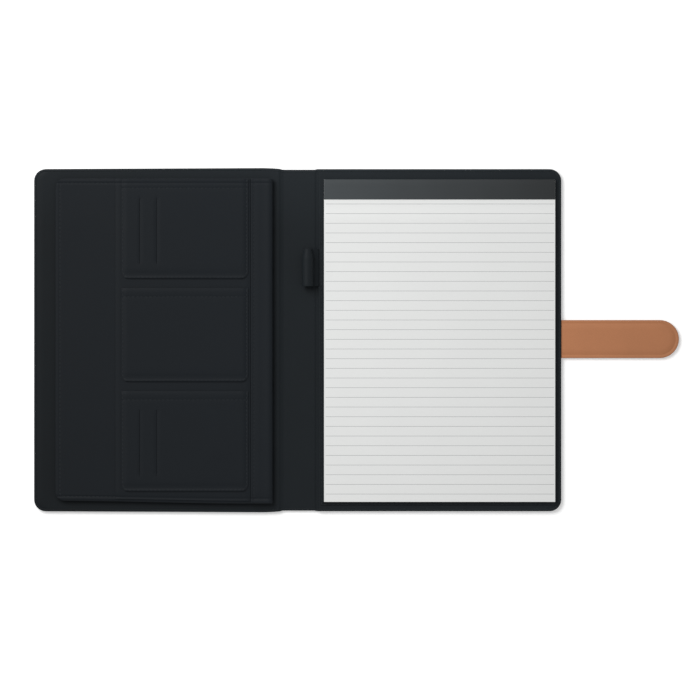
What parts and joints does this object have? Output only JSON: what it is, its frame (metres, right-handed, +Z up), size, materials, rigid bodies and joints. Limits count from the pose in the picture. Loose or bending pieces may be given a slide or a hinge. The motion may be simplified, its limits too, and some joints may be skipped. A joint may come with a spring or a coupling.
{
  "type": "padfolio",
  "caption": "Open dark padfolio with an expanding document pocket, card pockets, a pen loop, a ruled writing pad and a tan closing strap.",
  "frame": {"origin": "middle of the underside of the whole object as it lies open, strap included", "axes": "+X from the front cover's fore edge to the strap's end, +Y from tail to head of the pad, +Z up"},
  "size_m": [0.5842, 0.3092, 0.0159],
  "materials": {
    "skin": "matte grained leatherette, near black",
    "lining": "matte grained leatherette, near black",
    "pocket": "matte smooth leatherette, near black",
    "padding": "thin foam",
    "board": "grey board",
    "paper": "matte white, ruled in grey",
    "band": "semi-gloss dark grey binding tape",
    "tan": "smooth matte tan leather with painted edges",
    "steel": "plain steel"
  },
  "bodies": {
    "back_cover": {"back_skin": "skin", "back_padding": "padding", "back_board": "board", "back_lining": "lining", "strap_root": "tan", "pad_pocket": "lining", "pen_loop_flange": "lining"},
    "spine": {"spine_skin": "skin", "spine_board": "board", "spine_lining": "lining"},
    "front_cover": {"front_skin": "skin", "front_padding": "padding", "front_board": "board", "closure_plate": "steel", "front_lining": "lining", "gusset_tail": "pocket", "gusset_fore": "pocket", "gusset_head": "pocket", "pocket_panel": "pocket", "mouth_hem": "pocket", "card_panel": "pocket", "card_pocket_upper": "pocket", "card_pocket_middle": "pocket", "card_pocket_lower": "pocket"},
    "pen_loop": {"pen_loop_band": "lining"},
    "strap_riser": {"strap_riser_lower_ply": "tan", "strap_riser_upper_ply": "tan"},
    "strap_tip": {"strap_tip_lower_ply": "tan", "strap_tip_upper_ply": "tan", "strap_magnet": "steel"},
    "pad": {"backing_card": "board", "paper_block": "paper", "head_band": "band"},
    "sheet": {"top_sheet": "paper"}
  },
  "joints": [
    {"name": "back_hinge", "type": "hinge", "parent": "back_cover", "child": "spine", "pos_m": [-0.03725, 0, 0.0018], "axis": [0, 1, 0], "range_deg": [0, 90]},
    {"name": "front_hinge", "type": "hinge", "parent": "spine", "child": "front_cover", "pos_m": [-0.06975, 0, 0.0018], "axis": [0, 1, 0], "range_deg": [0, 90]},
    {"name": "pen_loop_hinge", "type": "hinge", "parent": "back_cover", "child": "pen_loop", "pos_m": [-0.03455, 0.0657, 0.0053], "axis": [0, 1, 0], "range_deg": [0, 90]},
    {"name": "strap_first_fold", "type": "hinge", "parent": "back_cover", "child": "strap_riser", "pos_m": [0.18565, 0.001, 0.0034], "axis": [0, -1, 0], "range_deg": [0, 90]},
    {"name": "strap_second_fold", "type": "hinge", "parent": "strap_riser", "child": "strap_tip", "pos_m": [0.21865, 0.001, 0.0034], "axis": [0, -1, 0], "range_deg": [0, 90]},
    {"name": "pad_slide", "type": "slide", "parent": "back_cover", "child": "pad", "axis": [0, 1, 0], "range_m": [0, 0.26]},
    {"name": "sheet_turn", "type": "hinge", "parent": "pad", "child": "sheet", "pos_m": [0.07445, 0.12735, 0.00885], "axis": [-1, 0, 0], "range_deg": [0, 170]}
  ],
  "couplings": [
    {"joint": "pen_loop_hinge", "follows": "back_hinge", "ratio": 1},
    {"joint": "strap_second_fold", "follows": "strap_first_fold", "ratio": 1}
  ]
}
